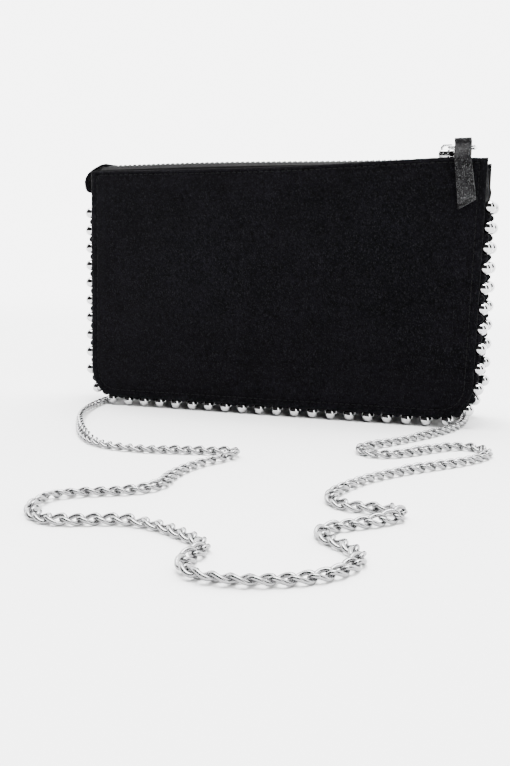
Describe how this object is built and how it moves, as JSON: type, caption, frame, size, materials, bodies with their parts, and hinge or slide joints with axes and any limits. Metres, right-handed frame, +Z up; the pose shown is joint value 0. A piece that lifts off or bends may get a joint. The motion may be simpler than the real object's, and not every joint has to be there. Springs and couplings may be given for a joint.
{
  "type": "chain wallet",
  "caption": "Small suede zip-top bag with a tapered gusset, ball studs along its edges, a zip with a suede pull and a long curb chain.",
  "frame": {"origin": "on the ground, at the middle of the bag's footprint (the loose chain not counted)", "axes": "+Z up; +X to the right, along the zip; the front panel faces -Y"},
  "size_m": [0.2376, 0.2784, 0.1435],
  "materials": {
    "suede": "matte",
    "tab_suede": "matte",
    "board": "matte",
    "lining": "matte",
    "tape": "matte",
    "teeth": "satin",
    "studs": "polished",
    "caps": "satin",
    "nickel": "polished"
  },
  "bodies": {
    "bag": {"back_board": "board", "back_panel": "suede", "base_board": "board", "card_slot_front": "lining", "card_slot_rear": "lining", "chain": "nickel", "chain_anchor_left": "suede", "chain_anchor_right": "suede", "end_ring_left": "nickel", "end_ring_right": "nickel", "front_board": "board", "front_panel": "suede", "gusset": "suede", "lining_back": "lining", "lining_front": "lining", "lining_gusset": "lining", "slip_pocket": "lining", "stud_caps_back": "caps", "stud_caps_front": "caps", "studs_back_base": "studs", "studs_back_left": "studs", "studs_back_right": "studs", "studs_front_base": "studs", "studs_front_left": "studs", "studs_front_right": "studs", "zip_bottom_stop": "teeth", "zip_end_tab": "suede", "zip_tape_back": "tape", "zip_tape_front": "tape", "zip_teeth_back": "teeth", "zip_teeth_front": "teeth", "zip_top_stops": "teeth"},
    "slider": {"slider_body": "nickel", "slider_bridge": "nickel"},
    "ring": {"pull_ring": "nickel"},
    "tab": {"pull_tab": "tab_suede"}
  },
  "joints": [
    {"name": "zip_slide", "type": "slide", "parent": "bag", "child": "slider", "axis": [-1, 0, 0], "range_m": [0, 0.183], "deforming": ["zip_teeth_front", "zip_teeth_back"]},
    {"name": "ring_hinge", "type": "hinge", "parent": "slider", "child": "ring", "pos_m": [0.09005, 0, 0.13915], "axis": [0, -1, 0], "range_deg": [0, 110]},
    {"name": "tab_hinge", "type": "hinge", "parent": "ring", "child": "tab", "pos_m": [0.097, -0.0052, 0.13915], "axis": [-1, 0, 0], "range_deg": [0, 100]}
  ]
}
